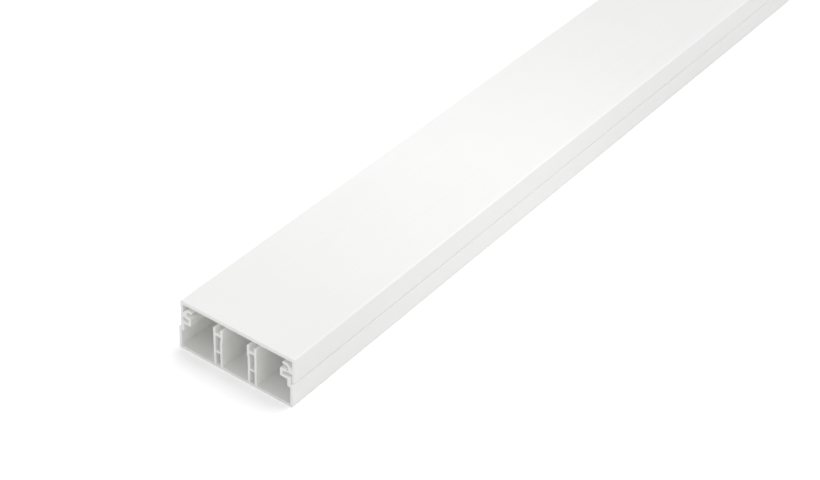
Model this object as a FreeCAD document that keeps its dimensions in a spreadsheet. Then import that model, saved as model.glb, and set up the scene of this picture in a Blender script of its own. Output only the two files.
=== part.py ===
import FreeCAD, Part
import os
import Sketcher

# Cord cover raceway: a length of white plastic trunking in two extruded pieces.
# The base has a flat back, two side walls, a hooked rail at the top of each wall and two
# ladder-shaped partitions that make three compartments. The cover clips over the rails.
# Frame: X across the width, Y along the length, Z up from the wall face of the base.
# The origin is at the middle of the underside. Millimetres.

SIZES = [
    # the stock as sold
    ("stock_length", 2000),
    ("cover_setback_length", 2),          # the cover lies this far behind the base's near end
    ("overall_width", 100),
    ("overall_height", 40),
    # base: back and side walls
    ("back_thickness", 2),
    ("wall_thickness", 2),
    ("back_corner_radius", 1),
    ("shoulder_radius", 0.4),
    # base: hooked rails
    ("rail_thickness", 2),
    ("rail_overlap_length", 2.3),         # how far the rail runs down inside the side wall
    ("rail_height", 4.1),                 # side wall's top to the underside of the hook
    ("rail_foot_radius", 1),
    ("hook_bar_thickness", 2),
    ("hook_mouth_height", 3),             # clear height between the hook's two bars
    ("hook_reach", 6.2),                  # how far the hook stands in from the rail
    ("lip_length", 4.6),                  # the hook's top bar
    ("hook_corner_radius", 0.9),
    # base: ladder partitions
    ("partition_spacing", 30.2),
    ("partition_width", 7.6),
    ("partition_wall_thickness", 1.8),
    ("lower_web_height", 12.9),
    ("lower_web_thickness", 1.6),
    ("fork_depth", 4.3),                  # partition's top down to the upper web
    ("upper_web_thickness", 2.1),
    ("upper_web_radius", 1.1),
    ("fork_drop_height", 4.8),            # upper web down to where the wall starts to stand proud
    ("fork_slope_height", 3),
    ("fork_step_depth", 0.6),
    ("foot_radius", 1.5),
    ("tip_radius", 0.5),
    # cover
    ("plate_thickness", 2.9),
    ("flange_thickness", 2.2),
    ("flange_relief_depth", 0.4),
    ("flange_foot_radius", 0.4),
    ("cover_corner_radius", 1.2),
    ("catch_bite_depth", 0.9),            # how far the catch reaches under the hook's lip
    ("catch_thickness", 1.5),
    ("arm_thickness", 2.1),
    ("arm_setback_length", 0.5),          # the arm ends this much short of the hook's inner face
    ("arm_bend_width", 1.5),              # slope of the arm's underside by its root
    ("arm_bend_height", 1.1),
    ("arm_shoulder_width", 3.6),          # slope of the arm's top by the flange
    ("arm_tip_radius", 0.6),
    # fits
    ("seam_gap", 0.5),
    ("rail_clearance", 0.4),              # rail to the inside of the flange
    ("catch_clearance", 0.3),             # catch to the underside of the lip
    ("throat_clearance", 0.6),            # clip's root to the end of the lip
    ("arm_gap", 2),                       # arm to the top of the hook
    ("arm_headroom_height", 3),           # arm to the underside of the plate
    ("partition_clearance", 3.1),         # partition's top to the underside of the plate
]

doc = FreeCAD.newDocument("raceway")
sheet = doc.addObject("Spreadsheet::Sheet", "Dimensions")
for row, (alias, number) in enumerate(SIZES, start=1):
    sheet.set(f"A{row}", alias)
    sheet.set(f"B{row}", str(number))
    sheet.setAlias(f"B{row}", alias)

# Sizes that follow from the ones above, as formulas of the sheet
DERIVED = [
    ("half_width", "=overall_width / 2"),
    ("plate_underside", "=overall_height - plate_thickness"),
    ("arm_top", "=plate_underside - arm_headroom_height"),
    ("arm_underside", "=arm_top - arm_thickness"),
    ("hook_top", "=arm_underside - arm_gap"),
    ("mouth_top", "=hook_top - hook_bar_thickness"),
    ("mouth_bottom", "=mouth_top - hook_mouth_height"),
    ("hook_height", "=mouth_bottom - hook_bar_thickness"),
    ("shoulder_height", "=hook_height - rail_height"),
    ("rail_foot", "=shoulder_height - rail_overlap_length"),
    ("flange_foot", "=shoulder_height + seam_gap"),
    ("catch_top", "=mouth_top - catch_clearance"),
    ("catch_underside", "=catch_top - catch_thickness"),
    ("flange_inside", "=half_width - flange_thickness"),
    ("rail_outside", "=flange_inside - rail_clearance"),
    ("rail_inside", "=rail_outside - rail_thickness"),
    ("hook_inside", "=rail_inside - hook_reach"),
    ("lip_end", "=hook_inside + lip_length"),
    ("catch_tip", "=lip_end - catch_bite_depth"),
    ("throat", "=lip_end + throat_clearance"),
    ("arm_tip", "=hook_inside + arm_setback_length"),
    ("partition_height", "=plate_underside - partition_clearance"),
    ("upper_web_top", "=partition_height - fork_depth"),
    ("upper_web_height", "=upper_web_top - upper_web_thickness"),
    ("fork_height", "=upper_web_height - fork_drop_height"),
    ("partition_inner", "=(partition_spacing - partition_width) / 2"),
    ("partition_outer", "=(partition_spacing + partition_width) / 2"),
    ("fork_inner", "=partition_inner - fork_step_depth"),
    ("fork_wall", "=fork_inner + partition_wall_thickness"),
]
for row, (alias, formula) in enumerate(DERIVED, start=len(SIZES) + 2):
    sheet.set(f"A{row}", alias)
    sheet.set(f"B{row}", formula)
    sheet.setAlias(f"B{row}", alias)
doc.recompute()


def size(expression):
    """The value of a formula in the sheet's names, in millimetres."""
    return float(sheet.evalExpression(bound(expression)))


def bound(expression):
    """The formula with each of the sheet's names written as the sheet's own property."""
    words = expression.replace("(", " ( ").replace(")", " ) ").split()
    return " ".join(f"Dimensions.{word}" if word[0].isalpha() else word for word in words)


def new_body(label):
    """An empty body whose label names its file."""
    body = doc.addObject("PartDesign::Body", label)
    body.Label = label
    return body


def origin_plane(body, role):
    """One of the body's own origin planes."""
    return next(item for item in body.Origin.OriginFeatures if item.Role == role)


def section_sketch(body, name, loops):
    """A closed section across the length, each corner given as two formulas.

    A side that runs straight up or straight across is held so, and every other place is a
    distance from the origin that follows the sheet.
    """
    sketch = body.newObject("Sketcher::SketchObject", name)
    sketch.AttachmentSupport = [(origin_plane(body, "XZ_Plane"), "")]
    sketch.MapMode = "FlatFace"
    for corners in loops:
        first = sketch.GeometryCount
        places = [FreeCAD.Vector(size(across), size(up), 0) for across, up in corners]
        for place, following in zip(places, places[1:] + places[:1]):
            sketch.addGeometry(Part.LineSegment(place, following))
        for index, (across, up) in enumerate(corners):
            line = first + index
            following = first + (index + 1) % len(corners)
            sketch.addConstraint(Sketcher.Constraint("Coincident", line, 2, following, 1))
            before = corners[index - 1]
            if index and across == before[0]:
                sketch.addConstraint(Sketcher.Constraint("Vertical", line - 1))
            else:
                distance(sketch, "DistanceX", line, across)
            if index and up == before[1]:
                sketch.addConstraint(Sketcher.Constraint("Horizontal", line - 1))
            else:
                distance(sketch, "DistanceY", line, up)
    return sketch


def distance(sketch, kind, line, expression):
    """Ties the start of a line to the origin by a formula."""
    rule = Sketcher.Constraint(kind, -1, 1, line, 1, size(expression))
    number = sketch.addConstraint(rule)
    sketch.setExpression(f"Constraints[{number}]", bound(expression))


def extrude(body, sketch, name):
    """The section pulled along the stock, half each way from the section's plane."""
    pad = body.newObject("PartDesign::Pad", name)
    pad.Profile = sketch
    pad.Midplane = True
    pad.setExpression("Length", "Dimensions.stock_length")
    sketch.Visibility = False
    return pad


def mirror(body, name, features):
    """The features repeated on the other side of the middle plane."""
    mirrored = body.newObject("PartDesign::Mirrored", name)
    mirrored.Originals = features
    mirrored.MirrorPlane = (origin_plane(body, "YZ_Plane"), [""])
    body.Tip = mirrored
    return mirrored


def round_edges(body, name, base, spots, radius):
    """Rounds the lengthwise edges that pass through the given places of the section."""
    doc.recompute()
    near = 0.01
    places = [(size(across), size(up)) for across, up in spots]
    places += [(-across, up) for across, up in places]
    names = []
    for number, edge in enumerate(base.Shape.Edges, start=1):
        box = edge.BoundBox
        if box.XLength > near or box.ZLength > near:
            continue
        if any(abs(box.XMin - x) < near and abs(box.ZMin - z) < near for x, z in places):
            names.append(f"Edge{number}")
    fillet = body.newObject("PartDesign::Fillet", name)
    fillet.Base = (base, names)
    fillet.setExpression("Radius", f"Dimensions.{radius}")
    body.Tip = fillet
    return fillet


# The base: back and side walls as one channel
base = new_body("trunking_base")
channel = extrude(base, section_sketch(base, "ChannelSection", [[
    ("- half_width", "0"),
    ("half_width", "0"),
    ("half_width", "shoulder_height"),
    ("half_width - wall_thickness", "shoulder_height"),
    ("half_width - wall_thickness", "back_thickness"),
    ("wall_thickness - half_width", "back_thickness"),
    ("wall_thickness - half_width", "shoulder_height"),
    ("- half_width", "shoulder_height"),
]]), "Channel")

# The rail stands inside the wall's top and ends in a hook that opens outwards
rail = extrude(base, section_sketch(base, "RailSection", [[
    ("half_width - wall_thickness / 2", "rail_foot"),
    ("half_width - wall_thickness / 2", "shoulder_height"),
    ("rail_outside", "shoulder_height"),
    ("rail_outside", "mouth_bottom"),
    ("hook_inside + hook_bar_thickness", "mouth_bottom"),
    ("hook_inside + hook_bar_thickness", "mouth_top"),
    ("lip_end", "mouth_top"),
    ("lip_end", "hook_top"),
    ("hook_inside", "hook_top"),
    ("hook_inside", "hook_height"),
    ("rail_inside", "hook_height"),
    ("rail_inside", "rail_foot"),
]]), "Rail")

# A partition is two thin walls with two webs between them, open as a fork at the top
partition = extrude(base, section_sketch(base, "PartitionSection", [[
    ("partition_inner", "back_thickness / 2"),
    ("partition_inner", "fork_height"),
    ("fork_inner", "fork_height + fork_slope_height"),
    ("fork_inner", "partition_height"),
    ("fork_wall", "partition_height"),
    ("fork_wall", "upper_web_top"),
    ("partition_outer - partition_wall_thickness", "upper_web_top"),
    ("partition_outer - partition_wall_thickness", "partition_height"),
    ("partition_outer", "partition_height"),
    ("partition_outer", "back_thickness / 2"),
], [
    ("partition_inner + partition_wall_thickness", "back_thickness"),
    ("partition_outer - partition_wall_thickness", "back_thickness"),
    ("partition_outer - partition_wall_thickness", "lower_web_height"),
    ("partition_inner + partition_wall_thickness", "lower_web_height"),
], [
    ("partition_inner + partition_wall_thickness", "lower_web_height + lower_web_thickness"),
    ("partition_outer - partition_wall_thickness", "lower_web_height + lower_web_thickness"),
    ("partition_outer - partition_wall_thickness", "upper_web_height"),
    ("fork_wall", "upper_web_height"),
    ("fork_wall", "fork_height + fork_slope_height"),
    ("partition_inner + partition_wall_thickness", "fork_height"),
]]), "Partition")

both_sides = mirror(base, "BothSides", [rail, partition])

# Rounded edges and inner corners along the base
rounded = round_edges(base, "InnerFeet", both_sides, [
    ("partition_inner", "back_thickness"),
], "foot_radius")
rounded = round_edges(base, "OuterFeet", rounded, [
    ("partition_outer", "back_thickness"),
], "foot_radius")
rounded = round_edges(base, "BackCorners", rounded, [("half_width", "0")], "back_corner_radius")
rounded = round_edges(base, "ShoulderEdges", rounded, [
    ("half_width", "shoulder_height"),
], "shoulder_radius")
rounded = round_edges(base, "RailFeet", rounded, [("rail_inside", "rail_foot")], "rail_foot_radius")
rounded = round_edges(base, "HookCorners", rounded, [
    ("hook_inside", "hook_height"),
    ("hook_inside", "hook_top"),
    ("rail_inside", "hook_height"),
], "hook_corner_radius")
rounded = round_edges(base, "UpperWebCorners", rounded, [
    ("fork_wall", "upper_web_height"),
    ("partition_outer - partition_wall_thickness", "upper_web_height"),
], "upper_web_radius")
round_edges(base, "PartitionTips", rounded, [
    ("fork_inner", "partition_height"),
    ("fork_wall", "partition_height"),
    ("partition_outer - partition_wall_thickness", "partition_height"),
    ("partition_outer", "partition_height"),
], "tip_radius")
base.setExpression("Placement.Base.y", "-Dimensions.cover_setback_length / 2")

# The cover: plate and flanges, with the flange's foot thinned on the inside
cover = new_body("trunking_cover")
shell = extrude(cover, section_sketch(cover, "ShellSection", [[
    ("- half_width", "flange_foot"),
    ("- flange_inside - flange_relief_depth", "flange_foot"),
    ("- flange_inside", "flange_foot + 2 * flange_relief_depth"),
    ("- flange_inside", "plate_underside"),
    ("flange_inside", "plate_underside"),
    ("flange_inside", "flange_foot + 2 * flange_relief_depth"),
    ("flange_inside + flange_relief_depth", "flange_foot"),
    ("half_width", "flange_foot"),
    ("half_width", "overall_height"),
    ("- half_width", "overall_height"),
]]), "Shell")

# The clip on each flange has a catch under the hook's lip and a stiff arm over it
clip = extrude(cover, section_sketch(cover, "ClipSection", [[
    ("flange_inside + flange_thickness / 2", "catch_underside"),
    ("catch_tip", "catch_underside"),
    ("catch_tip", "catch_top"),
    ("throat", "catch_top"),
    ("throat", "arm_underside - arm_bend_height"),
    ("throat - arm_bend_width", "arm_underside"),
    ("arm_tip", "arm_underside"),
    ("arm_tip", "arm_top"),
    ("flange_inside - arm_shoulder_width", "arm_top"),
    ("flange_inside", "arm_top - arm_shoulder_width"),
    ("flange_inside + flange_thickness / 2", "arm_top - arm_shoulder_width"),
]]), "Clip")

both_clips = mirror(cover, "BothClips", [clip])

# Rounded edges along the cover
rounded = round_edges(cover, "PlateCorners", both_clips, [
    ("half_width", "overall_height"),
], "cover_corner_radius")
rounded = round_edges(cover, "FlangeFeet", rounded, [
    ("half_width", "flange_foot"),
], "flange_foot_radius")
round_edges(cover, "ArmTips", rounded, [
    ("arm_tip", "arm_underside"),
    ("arm_tip", "arm_top"),
], "arm_tip_radius")
cover.setExpression("Placement.Base.y", "Dimensions.cover_setback_length / 2")

doc.recompute()
for item in doc.Objects:
    if "Invalid" in item.State or "Error" in item.State:
        raise RuntimeError(f"{item.Label} did not build: {item.State}")
bodies = [base, cover]
for body in bodies:
    if body.Shape.isNull() or not body.Shape.isValid() or len(body.Shape.Solids) != 1:
        raise RuntimeError(f"{body.Label} is not one valid solid")

os.makedirs("parts", exist_ok=True)
for body in bodies:
    body.Shape.exportStep(f"parts/{body.Label}.step")
    box = body.Shape.BoundBox
    print(f"{body.Label}: {box.XLength:.2f} x {box.YLength:.2f} x {box.ZLength:.2f} mm, "
          f"{body.Shape.Volume / 1000:.1f} cm3")
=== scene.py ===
import bpy
import math
from mathutils import Euler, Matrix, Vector


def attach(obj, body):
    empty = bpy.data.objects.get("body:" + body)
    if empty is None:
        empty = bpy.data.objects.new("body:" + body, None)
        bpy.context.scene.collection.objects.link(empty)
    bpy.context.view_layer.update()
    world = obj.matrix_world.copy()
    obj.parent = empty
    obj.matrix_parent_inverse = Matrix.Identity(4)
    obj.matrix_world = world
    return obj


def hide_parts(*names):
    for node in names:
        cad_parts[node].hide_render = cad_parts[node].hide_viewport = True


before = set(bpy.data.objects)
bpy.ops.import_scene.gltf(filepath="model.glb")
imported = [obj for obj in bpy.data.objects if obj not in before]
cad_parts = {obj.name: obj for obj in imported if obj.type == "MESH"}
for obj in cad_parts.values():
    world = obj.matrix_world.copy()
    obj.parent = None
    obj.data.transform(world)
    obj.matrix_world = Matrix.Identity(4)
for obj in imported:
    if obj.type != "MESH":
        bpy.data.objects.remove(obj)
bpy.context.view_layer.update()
print("frame loaded:", sorted(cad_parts))


# helpers used by both profiles

profileMesh = {
    "weldDistance": 0.000002,
    "flatAngle": 0.4,        # degrees, below this two faces are joined
    "lengthwiseOver": 1.0,   # only the edges that run along the stock are this long
    "wideFaceWeight": 100,
}


def deselectEverything():
    if bpy.context.mode != "OBJECT":
        bpy.ops.object.mode_set(mode="OBJECT")
    bpy.ops.object.select_all(action="DESELECT")


def makeActive(obj):
    deselectEverything()
    obj.select_set(True)
    bpy.context.view_layer.objects.active = obj


def mergedCopy(nodeName, pieceName):
    # the CAD mesh is loose triangles, so its copy is welded and its flat faces joined
    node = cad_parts[nodeName]
    piece = bpy.data.objects.new(pieceName, node.data.copy())
    bpy.context.collection.objects.link(piece)
    piece.data.materials.clear()
    makeActive(piece)
    bpy.ops.object.mode_set(mode="EDIT")
    bpy.ops.mesh.select_all(action="SELECT")
    bpy.ops.mesh.remove_doubles(threshold=profileMesh["weldDistance"])
    bpy.ops.mesh.dissolve_limited(angle_limit=math.radians(profileMesh["flatAngle"]))
    bpy.ops.object.mode_set(mode="OBJECT")
    return piece


def selectLengthwiseEdges(piece, sharperThan):
    mesh = piece.data
    faceNormals = {}
    for face in mesh.polygons:
        for key in face.edge_keys:
            faceNormals.setdefault(key, []).append(face.normal.copy())
    count = 0
    for edge in mesh.edges:
        start, end = (mesh.vertices[i].co for i in edge.vertices)
        lengthwise = abs(start.y - end.y) > profileMesh["lengthwiseOver"]
        sides = faceNormals.get(tuple(sorted(edge.vertices)), [])
        edge.select = lengthwise and len(sides) == 2 and sides[0].angle(sides[1]) > sharperThan
        count += edge.select
    return count


def roundProfileCorners(piece, look):
    makeActive(piece)
    bpy.ops.object.mode_set(mode="EDIT")
    bpy.ops.mesh.select_mode(type="EDGE")
    bpy.ops.mesh.select_all(action="DESELECT")
    bpy.ops.object.mode_set(mode="OBJECT")
    count = selectLengthwiseEdges(piece, math.radians(look["cornerAngle"]))
    bpy.ops.object.mode_set(mode="EDIT")
    bpy.ops.mesh.bevel(offset=look["cornerRadius"], segments=look["cornerSteps"], profile=0.5,
                       affect="EDGES", clamp_overlap=True)
    bpy.ops.object.mode_set(mode="OBJECT")
    bpy.ops.object.shade_smooth_by_angle(angle=math.radians(look["smoothAngle"]))
    # the wide faces keep their own normals, so that only the rounded corners shade round
    bpy.ops.object.modifier_add(type="WEIGHTED_NORMAL")
    weighted = piece.modifiers[-1]
    weighted.mode = "FACE_AREA"
    weighted.weight = profileMesh["wideFaceWeight"]
    weighted.keep_sharp = True
    bpy.ops.object.modifier_apply(modifier=weighted.name)
    print(piece.name, "corners rounded:", count, "faces:", len(piece.data.polygons))


# white plastic

def newNode(tree, kind, place, **settings):
    node = tree.nodes.new(kind)
    node.location = place
    for name, value in settings.items():
        setattr(node, name, value)
    return node


def newNoise(tree, place, scale, detail):
    node = newNode(tree, "ShaderNodeTexNoise", place)
    node.inputs["Scale"].default_value = scale
    node.inputs["Detail"].default_value = detail
    return node


def newRamp(tree, place, stops, colors):
    node = newNode(tree, "ShaderNodeValToRGB", place)
    for element, stop, color in zip(node.color_ramp.elements, stops, colors):
        element.position, element.color = stop, color
    return node


def extrudedPlastic(name, look):
    # outside: faint die lines along the stock; cut ends: saw marks, a little rougher
    material = bpy.data.materials.new(name)
    material.use_nodes = True
    tree = material.node_tree
    link = tree.links.new
    shader = tree.nodes["Principled BSDF"]
    shader.inputs["IOR"].default_value = look["ior"]
    shader.inputs["Specular IOR Level"].default_value = look["specular"]
    shader.inputs["Subsurface Weight"].default_value = look["glowWeight"]
    shader.inputs["Subsurface Radius"].default_value = look["glowRadius"]
    shader.inputs["Subsurface Scale"].default_value = look["glowScale"]
    place = newNode(tree, "ShaderNodeTexCoord", (-1500, 0))

    # die lines: noise drawn out along Y
    along = newNode(tree, "ShaderNodeMapping", (-1300, 200))
    along.inputs["Scale"].default_value = look["dieLineScale"]
    link(place.outputs["Object"], along.inputs["Vector"])
    lines = newNoise(tree, (-1100, 200), 1.0, look["dieLineDetail"])
    link(along.outputs["Vector"], lines.inputs["Vector"])

    # slow change of tone over the surface
    cloud = newNoise(tree, (-1100, -50), look["cloudScale"], look["cloudDetail"])
    link(place.outputs["Object"], cloud.inputs["Vector"])

    # saw marks on the cut ends, across the section
    across = newNode(tree, "ShaderNodeMapping", (-1300, -350))
    across.inputs["Rotation"].default_value = (0, look["sawTilt"], 0)
    across.inputs["Scale"].default_value = look["sawScale"]
    link(place.outputs["Object"], across.inputs["Vector"])
    saw = newNoise(tree, (-1100, -350), 1.0, look["sawDetail"])
    link(across.outputs["Vector"], saw.inputs["Vector"])

    # which faces are cut ends: those that look along the stock
    facing = newNode(tree, "ShaderNodeSeparateXYZ", (-1300, -650))
    link(place.outputs["Normal"], facing.inputs["Vector"])
    facingAlong = newNode(tree, "ShaderNodeMath", (-1100, -650), operation="ABSOLUTE")
    link(facing.outputs["Y"], facingAlong.inputs[0])
    isEnd = newNode(tree, "ShaderNodeMath", (-900, -650), operation="GREATER_THAN")
    isEnd.inputs[1].default_value = look["endFacing"]
    link(facingAlong.outputs[0], isEnd.inputs[0])

    skinTone = newRamp(tree, (-800, 0), look["toneStops"], (look["toneLow"], look["toneHigh"]))
    link(cloud.outputs["Fac"], skinTone.inputs["Fac"])
    lineTone = newRamp(tree, (-800, 250), look["lineStops"], (look["lineLow"], look["lineHigh"]))
    link(lines.outputs["Fac"], lineTone.inputs["Fac"])
    skin = newNode(tree, "ShaderNodeMix", (-500, 100), data_type="RGBA", blend_type="MULTIPLY")
    skin.inputs["Factor"].default_value = 1.0
    link(skinTone.outputs["Color"], skin.inputs["A"])
    link(lineTone.outputs["Color"], skin.inputs["B"])
    endTone = newRamp(tree, (-800, -300), look["toneStops"], (look["endLow"], look["endHigh"]))
    link(saw.outputs["Fac"], endTone.inputs["Fac"])
    color = newNode(tree, "ShaderNodeMix", (-250, 50), data_type="RGBA")
    link(isEnd.outputs[0], color.inputs["Factor"])
    link(skin.outputs["Result"], color.inputs["A"])
    link(endTone.outputs["Color"], color.inputs["B"])
    link(color.outputs["Result"], shader.inputs["Base Color"])

    skinRough = newNode(tree, "ShaderNodeMapRange", (-500, -150))
    skinRough.inputs["To Min"].default_value = look["roughLow"]
    skinRough.inputs["To Max"].default_value = look["roughHigh"]
    link(lines.outputs["Fac"], skinRough.inputs["Value"])
    rough = newNode(tree, "ShaderNodeMix", (-250, -200), data_type="FLOAT")
    link(isEnd.outputs[0], rough.inputs["Factor"])
    link(skinRough.outputs["Result"], rough.inputs["A"])
    rough.inputs["B"].default_value = look["endRough"]
    link(rough.outputs["Result"], shader.inputs["Roughness"])

    height = newNode(tree, "ShaderNodeMix", (-500, -450), data_type="FLOAT")
    link(isEnd.outputs[0], height.inputs["Factor"])
    link(lines.outputs["Fac"], height.inputs["A"])
    link(saw.outputs["Fac"], height.inputs["B"])
    depth = newNode(tree, "ShaderNodeMix", (-500, -650), data_type="FLOAT")
    link(isEnd.outputs[0], depth.inputs["Factor"])
    depth.inputs["A"].default_value = look["dieLineDepth"]
    depth.inputs["B"].default_value = look["sawDepth"]
    bump = newNode(tree, "ShaderNodeBump", (-250, -450))
    bump.inputs["Strength"].default_value = 1.0
    link(depth.outputs["Result"], bump.inputs["Distance"])
    link(height.outputs["Result"], bump.inputs["Height"])
    link(bump.outputs["Normal"], shader.inputs["Normal"])
    return material


plastic = {
    "ior": 1.53,
    "specular": 0.25,
    "glowWeight": 0.3,   # white PVC lets a little light through
    "glowRadius": (1.0, 0.98, 0.88),
    "glowScale": 0.004,
    "dieLineScale": (1400, 3, 1400),
    "dieLineDetail": 3.0,
    "dieLineDepth": 0.00003,
    "cloudScale": 9.0,
    "cloudDetail": 2.0,
    "sawTilt": 0.35,
    "sawScale": (250, 60, 3500),
    "sawDetail": 4.0,
    "sawDepth": 0.00006,
    "endFacing": 0.8,    # a cut end is where the normal points along Y by more than this
    "toneStops": (0.3, 0.7),
    "toneLow": (0.931, 0.930, 0.914, 1),
    "toneHigh": (0.947, 0.946, 0.933, 1),
    "lineStops": (0.25, 0.6),
    "lineLow": (0.98, 0.98, 0.978, 1),
    "lineHigh": (1, 1, 1, 1),
    "endLow": (0.94, 0.94, 0.93, 1),
    "endHigh": (0.98, 0.98, 0.972, 1),
    "roughLow": 0.42,
    "roughHigh": 0.56,
    "endRough": 0.65,
}
basePlastic = extrudedPlastic("basePlastic", plastic)
coverPlastic = extrudedPlastic("coverPlastic", plastic)
print("materials made")


# base: channel, hooked rails and ladder partitions

baseLook = {"cornerAngle": 20, "cornerRadius": 0.00015, "cornerSteps": 3, "smoothAngle": 35}
base = mergedCopy("trunking_base", "base_profile")
roundProfileCorners(base, baseLook)
base.data.materials.append(basePlastic)
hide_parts("trunking_base")
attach(base, "root")


# cover: plate, flanges and clips

coverLook = {"cornerAngle": 20, "cornerRadius": 0.00015, "cornerSteps": 3, "smoothAngle": 35}
cover = mergedCopy("trunking_cover", "cover_profile")
roundProfileCorners(cover, coverLook)
cover.data.materials.append(coverPlastic)
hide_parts("trunking_cover")
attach(cover, "root")
print("profiles made")


# floor

floorLook = {
    "size": 60,
    "bounce": (0.75, 0.75, 0.75, 1),
    "seen": (1.27, 1.265, 1.275, 1),
    "roughness": 0.9,
    "specular": 0.0,
}


def paleFloor(look):
    # the floor bounces plain light, and is white where the camera, gloss or glass sees it
    deselectEverything()
    bpy.ops.mesh.primitive_plane_add(size=look["size"], location=(0, 0, 0))
    floor = bpy.context.active_object
    floor.name = "floor"
    material = bpy.data.materials.new("paleFloor")
    material.use_nodes = True
    tree = material.node_tree
    link = tree.links.new
    shader = tree.nodes["Principled BSDF"]
    shader.inputs["Roughness"].default_value = look["roughness"]
    shader.inputs["Specular IOR Level"].default_value = look["specular"]
    rays = newNode(tree, "ShaderNodeLightPath", (-900, 0))
    cameraOrGloss = newNode(tree, "ShaderNodeMath", (-700, 0), operation="MAXIMUM")
    link(rays.outputs["Is Camera Ray"], cameraOrGloss.inputs[0])
    link(rays.outputs["Is Glossy Ray"], cameraOrGloss.inputs[1])
    isSeen = newNode(tree, "ShaderNodeMath", (-500, 0), operation="MAXIMUM")
    link(cameraOrGloss.outputs[0], isSeen.inputs[0])
    link(rays.outputs["Is Transmission Ray"], isSeen.inputs[1])
    color = newNode(tree, "ShaderNodeMix", (-300, 0), data_type="RGBA")
    color.inputs["A"].default_value = look["bounce"]
    color.inputs["B"].default_value = look["seen"]
    link(isSeen.outputs[0], color.inputs["Factor"])
    link(color.outputs["Result"], shader.inputs["Base Color"])
    floor.data.materials.append(material)


paleFloor(floorLook)


# light

sky = {"color": (1, 1, 1, 1), "strength": 0.7, "seenStrength": 1.0}
# strength, where it comes from, and the angle that it fills in degrees
suns = {
    "keyLight": (0.79, (0.12, 0.45, 0.86), 50),     # high and from behind, throws the shadow
    "sideLight": (0.39, (1.0, -0.05, 0.1), 30),     # low, on the long side
    "frontLight": (0.33, (0.05, -1.0, 0.05), 20),   # low, on the cut ends and along the compartments
}
plateLight = {
    "power": 8,
    "angle": 22,
    "blend": 1.0,
    "radius": 0.12,
    "place": (0.45, -0.6, 1.2),
    "aim": (0.01, -0.74, 0.03),
}

world = bpy.data.worlds.new("softStudio")
bpy.context.scene.world = world
world.use_nodes = True
worldTree = world.node_tree
background = worldTree.nodes["Background"]
background.inputs["Color"].default_value = sky["color"]
rays = newNode(worldTree, "ShaderNodeLightPath", (-700, 0))
skyMix = newNode(worldTree, "ShaderNodeMix", (-300, 0), data_type="FLOAT")
skyMix.inputs["A"].default_value = sky["strength"]
skyMix.inputs["B"].default_value = sky["seenStrength"]
worldTree.links.new(rays.outputs["Is Camera Ray"], skyMix.inputs["Factor"])
worldTree.links.new(skyMix.outputs["Result"], background.inputs["Strength"])

for name, (strength, comesFrom, angle) in suns.items():
    deselectEverything()
    bpy.ops.object.light_add(type="SUN", location=(0, 0, 3))
    sun = bpy.context.active_object
    sun.name = name
    sun.data.energy = strength
    sun.data.angle = math.radians(angle)
    sun.rotation_euler = Vector(comesFrom).to_track_quat("Z", "Y").to_euler()

# the plate is lightest a little way along from its near end
deselectEverything()
bpy.ops.object.light_add(type="SPOT", location=plateLight["place"])
spot = bpy.context.active_object
spot.name = "plateLight"
spot.data.energy = plateLight["power"]
spot.data.spot_size = math.radians(plateLight["angle"])
spot.data.spot_blend = plateLight["blend"]
spot.data.shadow_soft_size = plateLight["radius"]
spotDirection = Vector(plateLight["place"]) - Vector(plateLight["aim"])
spot.rotation_euler = spotDirection.to_track_quat("Z", "Y").to_euler()
print("light set")


# camera

shot = {
    "location": (0.66488, -1.74935, 0.86873),
    "turn": (53.0819, -2.0844, 36.6528),   # degrees
    "sensorWidth": 36,
    "lens": 85.419,
    "clipStart": 0.05,
    "clipEnd": 200,
    "diffuseBounces": 16,                  # the white compartments stay light far inside
    "maxBounces": 18,
}
cameraData = bpy.data.cameras.new("camera")
camera = bpy.data.objects.new("camera", cameraData)
bpy.context.collection.objects.link(camera)
camera.location = shot["location"]
camera.rotation_euler = Euler([math.radians(a) for a in shot["turn"]], "XYZ")
cameraData.sensor_width = shot["sensorWidth"]
cameraData.lens = shot["lens"]
cameraData.clip_start = shot["clipStart"]
cameraData.clip_end = shot["clipEnd"]

bpy.context.scene.camera = camera

scene = bpy.context.scene
scene.view_settings.view_transform = "Standard"
scene.cycles.diffuse_bounces = shot["diffuseBounces"]
scene.cycles.max_bounces = shot["maxBounces"]
